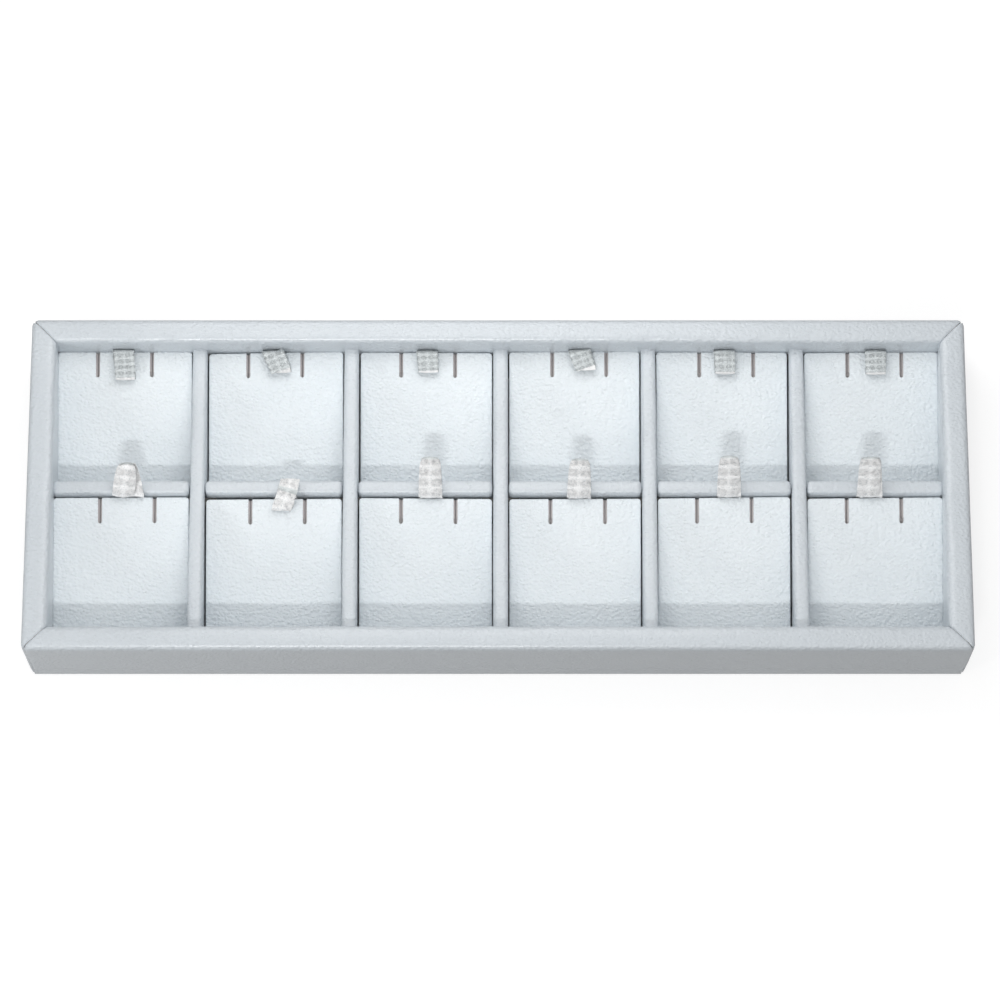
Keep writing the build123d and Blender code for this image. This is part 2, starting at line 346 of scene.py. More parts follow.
def makeRibbon(name, look):
    # satin threads along and across the ribbon, read from the strip's own measures
    material, tree, shader, place = startMaterial(name)
    calc = mathOn(tree)
    strip = addNode(tree, "ShaderNodeAttribute", attribute_name="strip").outputs["Vector"]
    threads = []
    for way, direction in (("along", "Y"), ("across", "X")):
        inputs = {"Vector": strip, "Scale": weave[way] / look["thread"], "Distortion": weave[way + "Wavy"],
                  "Detail": 1.0}
        threads.append(addNode(tree, "ShaderNodeTexWave", inputs, bands_direction=direction).outputs["Fac"])
    speck = addNoise(tree, place, weave["specks"] / look["thread"], 3)[0]
    height = calc("ADD", calc("MULTIPLY", *threads), speck)
    joinBump(tree, shader, height, look["depth"], weave["relief"])
    # the specks are painted glints as well as relief: light and dark spots of tone standing in for the sparkle
    # of the ribbon's threads
    share = mapRange(tree, speck, look["speck"])
    tone = mixTones(tree, share, (*look["dark"], 1), (*look["color"], 1))
    # the fold at the loop's tip is painted in its own tone, a painted highlight on the rear row and painted
    # shade on the front row, and has no metal
    fold = mapRange(tree, splitAxes(tree, strip)["Z"], weave["foldRange"], (1.0, 0.0))
    tone = mixTones(tree, fold, tone, (*look["tip"], 1))
    tree.links.new(tone, shader.inputs["Base Color"])
    metal = calc("MULTIPLY_ADD", fold, -look["metal"], look["metal"])
    tree.links.new(metal, shader.inputs["Metallic"])
    shader.inputs["Roughness"].default_value = look["roughness"]
    shader.inputs["IOR"].default_value = look["index"]
    return material


def makeFibrous(name, look):
    # pressed board or paper, flecked
    material, tree, shader, place = startMaterial(name)
    fibre = addNoise(tree, place, 1 / look["fibre"], 6, 0.7)[0]
    fleck = mapRange(tree, fibre, fibrous["fleckRange"])
    color = mixTones(tree, fleck, (*look["color"], 1), (*look["fleck"], 1))
    tree.links.new(color, shader.inputs["Base Color"])
    joinBump(tree, shader, fibre, look["depth"])
    shader.inputs["Roughness"].default_value = fibrous["roughness"]
    return material


def makeWood(name, look):
    material, tree, shader, place = startMaterial(name)
    turn = addNode(tree, "ShaderNodeMapping", {"Vector": place, "Scale": wood["stretch"]}).outputs[0]
    inputs = {"Vector": turn, "Scale": wood["rings"] / wood["grain"], "Distortion": wood["wavy"], "Detail": 3}
    rings = addNode(tree, "ShaderNodeTexWave", inputs, bands_direction="Z").outputs["Fac"]
    color = mixTones(tree, rings, (*look["color"], 1), (*look["ring"], 1))
    tree.links.new(color, shader.inputs["Base Color"])
    joinBump(tree, shader, rings, wood["depth"])
    shader.inputs["Roughness"].default_value = wood["roughness"]
    return material


leatherOnFrame = makeLeather("leatheretteFrame", frameLeather)
leatherOnFlap = makeLeather("leatheretteFlap", flapLeather)
silverRibbon = {row: makeRibbon("silverRibbon" + row.title(), look) for row, look in ribbonLooks.items()}
greyBoard = makeFibrous("greyboard", boardLook)
plainWood = makeWood("coreWood", woodLook)
stainedWood = makeWood("stainedWood", postShadeLook)
liningPaper = makeFibrous("liningPaper", paperLook)

# the frame's own nodes that show as they are, the corner posts painted near black as painted shade in the gaps
nodeFinishes = {"rail_cores": plainWood, "divider_cores": plainWood, "cross_rail_cores": plainWood,
                "front_corner_posts": stainedWood, "rear_corner_posts": stainedWood,
                "base_board": greyBoard, "base_lining": liningPaper}
for name, material in nodeFinishes.items():
    mesh = frame["nodes"][name].data
    mesh.materials.clear()
    mesh.materials.append(material)
print("finishes made")


# Frame: one cover for each rail, mitred, with a rolled lip at each seam
rail = {"width": 5.9 * mm, "draft": 1.2 * mm, "rimRadius": 1.1 * mm, "cornerRadius": 1.25 * mm,
        "sharpest": 0.01 * mm, "footRadius": 0.8 * mm, "skin": 0.5 * mm, "crown": 0.14 * mm, "step": 1.4 * mm}
# how many cells each part of the profile has
railCells = {"under": 3, "foot": 4, "wall": 9, "rim": 5, "top": 7, "inside": 8}
seam = {"gap": 0.06 * mm, "lip": 0.10 * mm, "lipPlace": 0.5 * mm, "lipWidth": 0.3 * mm, "roll": 0.22 * mm,
        "rollWidth": 0.14 * mm, "stations": (0, 0.06, 0.13, 0.22, 0.33, 0.46, 0.6, 0.8, 1.1, 1.5, 2.1, 3.0)}
# the soft relief of the cover, and its wrinkled bead along the rail's inner upper edge
relief = {"wave": 0.035 * mm, "waveSize": 13 * mm, "sink": 0.04 * mm, "plainBelow": 3 * mm, "bead": 0.12 * mm,
          "edgeWave": 0.16 * mm, "edgeWaveSize": 6.5 * mm, "edgeSeed": 3.1, "edgeInset": 0.5 * mm,
          "edgeWidth": 0.9 * mm, "edgeDepth": 2.5 * mm}
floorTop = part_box("base_board")[1].z
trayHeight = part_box("front_rail_cover")[1].z
rimLean = rail["draft"] * rail["rimRadius"] / trayHeight
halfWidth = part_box("right_rail_cover")[1].x + rimLean
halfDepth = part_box("rear_rail_cover")[1].y + rimLean


def railProfile():
    # the cover's outside as (inset, height), from under the rail, up the outer wall, over, and down inside
    foot, rim, width = rail["footRadius"], rail["rimRadius"], rail["width"]
    inner = width - rail["skin"]
    footInset = rail["draft"] * (1 - foot / trayHeight)
    shoulder = trayHeight - rim
    profile = [(inner, 0)]
    profile += [(value, 0) for value in between(inner, footInset + foot, railCells["under"])]
    profile += [(footInset + foot - foot * s, foot - foot * c) for s, c in quarter(railCells["foot"])]
    for height in between(foot, shoulder, railCells["wall"]):
        profile.append((rail["draft"] * (1 - height / trayHeight), height))
    profile += [(rimLean + rim - rim * c, shoulder + rim * s) for s, c in quarter(railCells["rim"])]
    profile += [(value, trayHeight) for value in between(rimLean + rim, width - rim, railCells["top"])]
    profile += [(width - rim + rim * s, shoulder + rim * c) for s, c in quarter(railCells["rim"])]
    profile += [(width, value) for value in between(shoulder, floorTop, railCells["inside"])]
    profile.append((width, floorTop))
    middle = width / 2
    crowned = []
    for inset, height in profile:
        share = max(0, (height - shoulder + rim) / (2 * rim))
        crowned.append((inset, height - rail["crown"] * share * ((inset - middle) / middle) ** 2))
    return crowned


def pathRadius(inset):
    return max(rail["cornerRadius"] - inset, rail["sharpest"])


def pathPoint(inset, along, halfU, halfV):
    # a point of the frame's inset outline, measured along it from the mitre, round the corner first
    radius = pathRadius(inset)
    arc = radius * math.pi / 4
    length = 2 * (arc + halfU - inset - radius)
    if along > length / 2:
        u, v = pathPoint(inset, length - along, halfU, halfV)
        return -u, v
    if along < arc:
        angle = math.radians(225) + along / radius
        return (-halfU + inset + radius * (1 + math.cos(angle)),
                -halfV + inset + radius * (1 + math.sin(angle)))
    return -halfU + inset + radius + along - arc, -halfV + inset


def coverRelief(point, near, inset, height):
    # how far the cover stands out here: a lip at the seam, soft waves, and the wrinkled bead
    if height <= relief["plainBelow"]:
        return 0.0
    lip = seam["lip"] * math.exp(-((near - seam["lipPlace"]) / seam["lipWidth"]) ** 2)
    roll = seam["roll"] * math.exp(-(near / seam["rollWidth"]) ** 2)
    ripple = relief["wave"] * wave(point, relief["waveSize"])
    edge = math.exp(-((inset - rail["width"] + relief["edgeInset"]) / relief["edgeWidth"]) ** 2)
    edge *= height > trayHeight - relief["edgeDepth"]
    wrinkle = relief["edgeWave"] * edge * wave(point, relief["edgeWaveSize"], relief["edgeSeed"])
    return lip - roll + ripple + wrinkle + relief["bead"] * edge - relief["sink"]


def makeRailCover(side, turn, halfU, halfV):
    profile = railProfile()
    ends = [seam["gap"] + value * mm for value in seam["stations"]]
    count = round(2 * halfU / rail["step"])
    points, fromSeam = [], []
    spin = Matrix.Rotation(math.radians(turn), 4, "Z")
    for inset, height in profile:
        radius = pathRadius(inset)
        length = 2 * (radius * math.pi / 4 + halfU - inset - radius)
        stations = ends + between(ends[-1], length - ends[-1], count)
        stations += [length - value for value in reversed(ends)]
        for along in stations:
            u, v = pathPoint(inset, along, halfU, halfV)
            points.append(spin @ Vector((u, v, height)))
            fromSeam.append((min(along, length - along), inset, height))
    faces = gridFaces(len(profile), len(points) // len(profile))
    cover = addPiece(side + "RailCover", points, faces)
    bump(cover.data, [coverRelief(point, *spot) for point, spot in zip(points, fromSeam)])
    thicken(cover, rail["skin"])
    settle(cover)
    cover.data.materials.append(leatherOnFrame)
    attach(cover, "root")
    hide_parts(side + "_rail_cover")


makeRailCover("front", 0, halfWidth, halfDepth)
makeRailCover("right", 90, halfDepth, halfWidth)
makeRailCover("rear", 180, halfWidth, halfDepth)
makeRailCover("left", 270, halfDepth, halfWidth)
print("rail covers made")


# Dividers and cross rails: a wrapped strip as a rule, a block whose upper edges and ends are rounded
bar = {"topRadius": 1.2 * mm, "wobble": 0.07 * mm, "wobbleSize": 7 * mm, "cellsAcross": 12, "cellsUp": 16,
       "longStep": 0.75 * mm, "overRail": 1.2 * mm, "sharpAngle": 60, "dividerSeed": 11, "crossRailSeed": 31}
# how much the cells crowd towards the ends, so that the rounded edges get most of them
crowding = (("X", "Length", 2.0), ("Y", "Width", 1.6), ("Z", "Height", 1.8))
tiny = 1e-9


def addInputs(tree, inputs):
    # the tree's named inputs, as the outputs of the node that gives them
    kinds = {"Material": "NodeSocketMaterial", "Path": "NodeSocketObject", "Seed": "NodeSocketInt"}
    tree.interface.new_socket("Geometry", in_out="OUTPUT", socket_type="NodeSocketGeometry")
    for name in inputs:
        tree.interface.new_socket(name, in_out="INPUT", socket_type=kinds.get(name, "NodeSocketFloat"))
    return tree.nodes.new("NodeGroupInput").outputs


def applyTree(piece, tree, values):
    modifier = piece.modifiers.new(tree.name, "NODES")
    modifier.node_group = tree
    for item in tree.interface.items_tree:
        if item.in_out == "INPUT":
            modifier[item.identifier] = values[item.name]


def finishTree(tree, geometry, material):
    real = addNode(tree, "GeometryNodeRealizeInstances", {"Geometry": geometry}).outputs[0]
    painted = addNode(tree, "GeometryNodeSetMaterial", {"Geometry": real, "Material": material}).outputs[0]
    out = tree.nodes.new("NodeGroupOutput")
    tree.links.new(painted, out.inputs[0])


def makeBarTree():
    tree = bpy.data.node_groups.new("wrappedBar", "GeometryNodeTree")
    calc, vector = mathOn(tree), vectorsOn(tree)
    given = addInputs(tree, ("Length", "Width", "Height", "Radius", "Cells Long", "Wobble", "Wobble Size",
                             "Seed", "Material"))
    block = addNode(tree, "GeometryNodeMeshCube",
                    {"Size": joinAxes(tree, 2.0, 2.0, 2.0), "Vertices X": given["Cells Long"],
                     "Vertices Y": bar["cellsAcross"], "Vertices Z": bar["cellsUp"]}).outputs["Mesh"]
    spot = splitAxes(tree, addNode(tree, "GeometryNodeInputPosition").outputs[0])
    inner, off = [], []
    for axis, name, power in crowding:
        share = spot[axis]
        near = calc("SUBTRACT", 1.0, calc("ABSOLUTE", share))
        crowded = calc("SUBTRACT", 1.0, calc("POWER", near, power))
        half = calc("MULTIPLY", given[name], 0.5)
        value = calc("MULTIPLY", calc("MULTIPLY", crowded, calc("SIGN", share)), half)
        # only the lower edges stay square
        limit = calc("SUBTRACT", half, given["Radius"])
        clamped = calc("MINIMUM", value, limit)
        if axis != "Z":
            clamped = calc("MAXIMUM", clamped, calc("MULTIPLY", limit, -1.0))
        inner.append(clamped)
        off.append(calc("SUBTRACT", value, clamped))
    core, away = joinAxes(tree, *inner), joinAxes(tree, *off)
    largest = calc("MAXIMUM", calc("ABSOLUTE", off[0]), calc("ABSOLUTE", off[1]))
    largest = calc("MAXIMUM", largest, calc("ABSOLUTE", off[2]))
    share = calc("DIVIDE", largest, calc("MAXIMUM", vector("LENGTH", away), tiny))
    rounded = vector("ADD", core, vector("SCALE", away, share))
    shaped = addNode(tree, "GeometryNodeSetPosition", {"Geometry": block, "Position": rounded}).outputs[0]
    place = addNode(tree, "GeometryNodeInputPosition").outputs[0]
    shifted = vector("ADD", vector("DIVIDE", place, given["Wobble Size"]),
                     joinAxes(tree, given["Seed"], given["Seed"], 0.0))
    centred = vector("SUBTRACT", addNoise(tree, shifted, 1.0, 2)["Color"], (0.5, 0.5, 0.5))
    above = addNode(tree, "FunctionNodeCompare", {"A": splitAxes(tree, place)["Z"], "B": 0.0},
                    operation="GREATER_THAN").outputs[0]
    moved = vector("SCALE", centred, given["Wobble"])
    soft = addNode(tree, "GeometryNodeSetPosition",
                   {"Geometry": shaped, "Selection": above, "Offset": moved})
    finishTree(tree, soft.outputs[0], given["Material"])
    return tree


def makeBar(node, pieceName, seed, over=0.0):
    low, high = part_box(node)
    low.y -= over
    high.y += over
    size = high - low
    long = 0 if size.x > size.y else 1
    piece = addPiece(pieceName, [], [])
    applyTree(piece, barTree, {
        "Length": size[long], "Width": size[1 - long], "Height": size.z, "Radius": bar["topRadius"],
        "Cells Long": float(round(size[long] / bar["longStep"])), "Wobble": 2 * bar["wobble"],
        "Wobble Size": bar["wobbleSize"], "Seed": seed, "Material": leatherOnFrame})
    settle(piece, bar["sharpAngle"])
    turn = Matrix.Rotation(math.radians(90 * long), 4, "Z")
    piece.data.transform(Matrix.Translation((low + high) / 2) @ turn)
    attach(piece, "root")
    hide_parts(node)


barTree = makeBarTree()
for index in range(5):
    number = str(index + 1)
    makeBar("divider_" + number, "dividerCover" + number, bar["dividerSeed"] + index, bar["overRail"])
for index in range(6):
    number = str(index + 1)
    makeBar("cross_rail_" + number, "crossRailCover" + number, bar["crossRailSeed"] + index)
print("dividers and cross rails made")


# Flaps: a board in leatherette, open at two slots, a little bowed and each at its own small tilt
flap = {"slope": 16.939, "thickness": 1.6 * mm, "skin": 0.35 * mm, "skinShare": 0.95, "edgeRadius": 0.35 * mm,
        "cornerRadius": 0.8 * mm, "edgeCells": 4, "turnIn": 6.5 * mm, "slotWidth": 1.1 * mm,
        "slotLength": 6.9 * mm, "slotSpacing": 14.8 * mm, "slotTaper": 0.10, "coverAngle": 50,
        "boardAngle": 30, "wider": (1.39, 1.43, 0.69, 0.32, 0.48, 1.31)}
# the padding: how far the flap is bowed and cushioned, the ridge inside its edge, and its unevenness
padding = {"crown": 0.10 * mm, "sunkShare": 0.6, "pillow": 0.55 * mm, "ridge": 0.05 * mm,
           "ridgePlace": 0.75 * mm, "ridgeWidth": 0.4 * mm, "uneven": 0.10 * mm, "unevenSize": 14 * mm,
           "unevenStep": 40 * mm}
# where the grid of a flap has its lines, in mm from its middle, from its sides and ends, and from a slot
flapGrid = {"middle": (2.2, 4.4), "sides": (2.4, 1.4, 0.9, 0.45), "ends": (1.6, 0.9, 0.45), "slotSide": 0.8,
            "slotEnd": 0.7, "slotShare": 0.7}
# each flap, in mm: shift along X, how much further back its upper left and right corners reach, and the
# shift of its slots along X
flapMoods = {
    "rear": ((0.08, 0.35, 0.45, -0.03), (0.00, -0.15, 0.50, -0.22), (0.05, 0.30, 0.10, 0.49),
             (0.00, 0.35, 0.55, 1.37), (-0.08, 0.35, 0.30, 1.25), (-0.10, 0.15, 0.40, 0.90)),
    "front": ((0.10, 0.40, 0.60, 1.70), (0.05, -0.10, 0.20, 1.02), (0.05, 0.40, 0.10, 0.73),
              (0.00, 0.05, 0.20, 0.72), (-0.08, 0.25, 0.70, 0.06), (-0.10, 0.20, 0.60, -0.30))}


def rowAndIndex(joint):
    # rear_flap_3 gives rear and 2
    row, kind, number = joint["child"].split("_")
    return row, int(number) - 1


def flapLines(width, length, inset, shift):
    # grid lines across and along a flap, close together at its edges and at the slots
    half, tight, spot = width / 2 - inset, flap["slotWidth"] / 2, flap["slotSpacing"] / 2
    beside, bend = flapGrid["slotSide"] * mm, flapGrid["slotShare"] * tight
    right = [0] + [value * mm for value in flapGrid["middle"]]
    right += [spot - tight - beside, spot - tight, spot - bend, spot]
    right += [spot + bend, spot + tight, spot + tight + beside]
    middle = [shift + value for value in [-value for value in reversed(right[1:])] + right]
    rim = [half - value * mm for value in flapGrid["sides"]] + [half]
    across = [-value for value in reversed(rim)] + between(-rim[0], middle[0], 4) + middle
    across += between(middle[-1], rim[0], 4) + rim
    start, end = inset, length - inset
    slotEnd = length - flap["slotLength"]
    ahead = slotEnd - flapGrid["slotEnd"] * mm
    along = [start] + [start + value * mm for value in reversed(flapGrid["ends"])]
    along += between(along[-1], ahead, 16) + [ahead, slotEnd + tight]
    last = [end - value * mm for value in flapGrid["ends"]] + [end]
    along += between(slotEnd + tight, last[0], 4) + last
    return across, along


def flapSurface(width, length, inset, mood):
    # both faces of a flap as grids, bowed and tilted alike, the slots left open
    shift, left, right, slotShift = mood
    across, along = flapLines(width, length, inset, slotShift * mm)
    tight, spot = flap["slotWidth"] / 2, flap["slotSpacing"] / 2
    slotEnd = length - flap["slotLength"]
    endRow = min(range(len(along)), key=lambda j: abs(along[j] - slotEnd - tight))
    pull = (flap["cornerRadius"] - inset) * (1 - math.sqrt(0.5))
    places, holes, lifts = [], set(), []
    for j, y in enumerate(along):
        for i, x in enumerate(across):
            offset = abs(abs(x - slotShift * mm) - spot)
            px, py = x, y
            if j == endRow and offset < tight * 0.99:
                py = slotEnd + tight - math.sqrt(tight ** 2 - offset ** 2)
            if i in (0, len(across) - 1) and j in (0, len(along) - 1):
                px -= math.copysign(pull, x)
                py -= math.copysign(pull, y - length / 2)
            reach = (left * (0.5 - x / width) + right * (0.5 + x / width)) * mm
            py += reach * max(0, py / length) ** 2
            places.append((px, py))
    for j in range(endRow, len(along) - 1):
        for i in range(len(across) - 1):
            middle = abs((across[i] + across[i + 1]) / 2 - slotShift * mm)
            if abs(middle - spot) < tight:
                holes.add((i, j))
    for x, y in places:
        u, v = 2 * x / width, 2 * y / length - 1
        bow = padding["crown"] * (1 - u * u) + padding["pillow"] * max(0, 1 - u ** 4) * max(0, 1 - v ** 4)
        noisePlace = (x + padding["unevenStep"] * left, y, 0)
        uneven = padding["uneven"] * wave(noisePlace, padding["unevenSize"], shift + 2 * right)
        lifts.append(bow - padding["crown"] * padding["sunkShare"] + uneven)
    return across, along, places, lifts, holes


def makeFlapShell(name, width, length, thickness, inset, mood, turnIn, center):
    # top face, sides and turned-in underside, as one open skin
    across, along, places, lifts, holes = flapSurface(width, length, inset, mood)
    nx, ny = len(across), len(along)
    total = nx * ny
    points, faces = [], []
    for (x, y), lift in zip(places, lifts):
        edge = min(width / 2 - abs(x), length - y, y)
        ridge = padding["ridge"] * math.exp(-((edge - padding["ridgePlace"]) / padding["ridgeWidth"]) ** 2)
        points.append(Vector((x, y, lift + (ridge if inset else 0))))
    points += [Vector((x, y, lift - thickness)) for (x, y), lift in zip(places, lifts)]
    for j in range(ny - 1):
        for i in range(nx - 1):
            if (i, j) in holes:
                continue
            a = j * nx + i
            faces.append((a, a + 1, a + nx + 1, a + nx))
            x, y = (across[i] + across[i + 1]) / 2, (along[j] + along[j + 1]) / 2
            if not turnIn or min(width / 2 - abs(x), y, length - y) < turnIn:
                faces.append((a + total, a + nx + total, a + nx + 1 + total, a + 1 + total))
    loop = [(i, 0) for i in range(nx - 1)] + [(nx - 1, j) for j in range(ny - 1)]
    loop += [(i, ny - 1) for i in range(nx - 1, 0, -1)] + [(0, j) for j in range(ny - 1, 0, -1)]
    # from each point of the outline, a chain of points round the edge to the underside
    chains = []
    turns = quarter(flap["edgeCells"])[1:] if inset else []
    steps = [(inset * s, -inset * (1 - c)) for s, c in turns]
    steps += [(inset * s, -thickness + inset * (1 - c)) for s, c in reversed(turns)]
    for i, j in loop:
        a = j * nx + i
        out = Vector(((i == nx - 1) - (i == 0), (j == ny - 1) - (j == 0), 0)).normalized()
        chain = [a]
        for reach, drop in steps:
            points.append(points[a] + out * reach + Vector((0, 0, drop)))
            chain.append(len(points) - 1)
        chain.append(a + total)
        chains.append(chain)
    for k, ((i, j), chain) in enumerate(zip(loop, chains)):
        nextI, nextJ = loop[(k + 1) % len(loop)]
        following = chains[(k + 1) % len(chains)]
        # the slots run out through the upper edge
        if j == ny - 1 and nextJ == ny - 1 and (min(i, nextI), ny - 2) in holes:
            continue
        for low in range(len(chain) - 1):
            faces.append((chain[low + 1], following[low + 1], following[low], chain[low]))
    return addPiece(name, [tuple(point + center) for point in points], faces)


def placeFlap(piece, joint, shift):
    # from lying flat at the origin to its slope on its hinge
    spot = Vector(joint["pos_m"]) + Vector((shift * mm, 0, 0))
    piece.data.transform(Matrix.Translation(spot) @ Matrix.Rotation(math.radians(flap["slope"]), 4, "X"))


def flapLength(joint):
    slope = math.radians(flap["slope"])
    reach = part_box(joint["child"] + "_cover")[1].y - joint["pos_m"][1]
    return (reach - flap["thickness"] * math.sin(slope)) / math.cos(slope)


def narrowSlots(mesh, shift):
    # a die leaves the slot narrower at the board's underside
    spot, tight = flap["slotSpacing"] / 2, flap["slotWidth"] / 2
    under = len(mesh.vertices) // 2
    for vertex in mesh.vertices[under:]:
        x = vertex.co.x - shift
        offset = abs(x) - spot
        if abs(offset) < tight * 1.05:
            vertex.co.x = shift + math.copysign(spot + offset * flap["slotTaper"], x)
    mesh.update()


def microns(vertex):
    return tuple(round(value * 1e6) for value in vertex.co.xy)


def closeSlots(mesh):
    # walls between the cut edges of the board's upper and lower faces
    users = {}
    for face in mesh.polygons:
        for key in face.edge_keys:
            users[key] = users.get(key, 0) + 1
    uppers, lowers = [], {}
    for key in [key for key, count in users.items() if count == 1]:
        if mesh.vertices[key[0]].co.z > -flap["thickness"] / 2:
            uppers.append(key)
        else:
            lowers.update({microns(mesh.vertices[v]): v for v in key})
    faces = [tuple(face.vertices) for face in mesh.polygons]
    for a, b in uppers:
        underA, underB = lowers.get(microns(mesh.vertices[a])), lowers.get(microns(mesh.vertices[b]))
        if underA is not None and underB is not None:
            faces.append((a, b, underB, underA))
    points = [tuple(vertex.co) for vertex in mesh.vertices]
    mesh.clear_geometry()
    mesh.from_pydata(points, [], faces)
    mesh.update()


def makeFlap(joint, row, index):
    body = joint["child"]
    low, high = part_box(body + "_cover")
    width = high.x - low.x + flap["wider"][index] * mm
    length = flapLength(joint)
    mood = flapMoods[row][index]
    number = str(index + 1)
    skin, thickness = flap["skin"], flap["thickness"]
    cover = makeFlapShell(row + "FlapCover" + number, width, length, thickness, flap["edgeRadius"], mood,
                          flap["turnIn"], Vector((0, 0, 0)))
    placeFlap(cover, joint, mood[0])
    thicken(cover, skin * flap["skinShare"])
    settle(cover, flap["coverAngle"])
    cover.data.materials.append(leatherOnFlap)
    board = makeFlapShell(row + "FlapBoard" + number, width - 2 * skin, length - 2 * skin,
                          thickness - 2 * skin, 0, mood, 0, Vector((0, skin, -skin)))
    closeSlots(board.data)
    narrowSlots(board.data, mood[3] * mm)
    placeFlap(board, joint, mood[0])
    settle(board, flap["boardAngle"])
    board.data.materials.append(greyBoard)
    for piece, node, slot in ((cover, "_cover", "flap_leatherette"), (board, "_board", "greyboard")):
        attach(piece, body)
        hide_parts(body + node)


for joint in frame["joints"]:
    makeFlap(joint, *rowAndIndex(joint))
print("flaps made")


# Ribbon loops: a woven strip that follows a path, as a rule
ribbon = {"width": {"rear": 5.6 * mm, "front": 6.0 * mm}, "openShare": 0.86, "thickness": 0.16 * mm,
          "glue": 5.5 * mm, "clear": 0.13 * mm, "layer": 0.24 * mm, "bend": 0.4 * mm, "rows": 420,
          "cells": 26, "rib": 0.52 * mm, "tipLength": 0.035, "foldLength": 0.022, "sharpAngle": 60,
          "seed": {"rear": 3, "front": 13}}
# the shape of a loop, as shares of its rise, its reach and its bulge
loopShares = {"stem": 0.4, "waist": 0.35, "waistBulge": 0.36, "crownBulge": 0.56, "tipBulge": 0.46}
# how fast the tip's pinch, its narrowing and the crease fade, how deep the cup is, and how sharp the edge is
falls = {"pinch": -1.0, "narrow": -0.12, "crease": -60.0, "cup": -4.0, "edge": 16.0}
# how strongly each row's loops are crumpled: height of the ribs and of the folds, size of the folds,
# breaking up of the ribs, and how much of its width the fold at the tip loses
crumple = {"rear": {"rib": 0.015 * mm, "fold": 0.08 * mm, "size": 2.2 * mm, "break": 1.5, "pinch": 0.06},
           "front": {"rib": 0.05 * mm, "fold": 0.12 * mm, "size": 0.8 * mm, "break": 3.5, "pinch": 0.26}}
# reach, rise and bulge, then places along X at the flap's edge and at the tip, and how far the layers fan
# out, all in mm, then the lean in degrees up from the flap, the cup and the crease in mm, the slant of the
# ribs in turns, and the share of its width that the tip loses
loopWords = ("reach", "rise", "bulge", "base", "tip", "fan", "lean", "cup", "crease", "slant", "narrow")
loops = {
    "rear": ((8.2, 2.6, 1.5, -0.3, 0.3, 0.3, 186, 0.15, 0.0, 0.9, 0.0),
             (6.0, 2.6, 1.5, -0.7, 1.7, 0.2, 186, 0.25, 0.0, 0.8, 0.0),
             (6.0, 2.5, 1.5, -0.3, 0.1, 0.2, 186, 0.2, 0.0, 0.5, 0.0),
             (5.6, 2.6, 1.5, 0.0, 1.8, -0.5, 186, 0.25, 0.0, 0.9, 0.0),
             (6.5, 2.5, 1.5, -0.6, -0.4, 0.2, 186, 0.2, 0.0, 0.6, 0.0),
             (6.6, 2.5, 1.5, 0.2, 0.3, -0.3, 186, 0.2, 0.0, 0.7, 0.0)),
    "front": ((9.5, 1.9, 2.2, 0.3, 0.2, 2.6, 24, 0.5, 0.0, 1.4, 0.2),
              (9.0, 1.2, 1.5, 2.2, 3.3, 1.1, 70, 0.2, 0.0, 1.2, 0.0),
              (11.4, 1.9, 1.3, 0.6, 0.6, 0.4, 23, 0.35, 0.0, 1.0, 0.1),
              (11.0, 1.9, 1.3, 0.3, 0.5, 0.5, 23, 0.35, 0.0, 1.2, 0.1),
              (11.7, 1.9, 1.3, 1.2, 1.1, 0.5, 27, 0.35, 0.0, 0.8, 0.1),
              (11.5, 1.9, 1.5, -1.3, -1.4, 1.0, 27, 0.35, 0.12, 1.0, 0.05))}
# the front row's second loop lies open instead, forward over its flap and back over the cross rail: its route
# as places along X, and along and above the flap from its upper edge, in mm
openLoop = ((2.2, -0.5, 0.9), (1.5, -1.7, 0.75), (1.05, -2.7, 0.7), (1.0, -3.4, 1.3), (1.1, -2.7, 2.1),
            (1.7, -1.2, 2.5), (2.7, 1.6, 3.2), (3.4, 4.4, 3.0), (3.5, 5.6, 2.2), (3.4, 5.0, 1.35),
            (3.1, 3.6, 1.65), (2.6, 2.0, 1.75), (2.3, 0.9, 1.45))


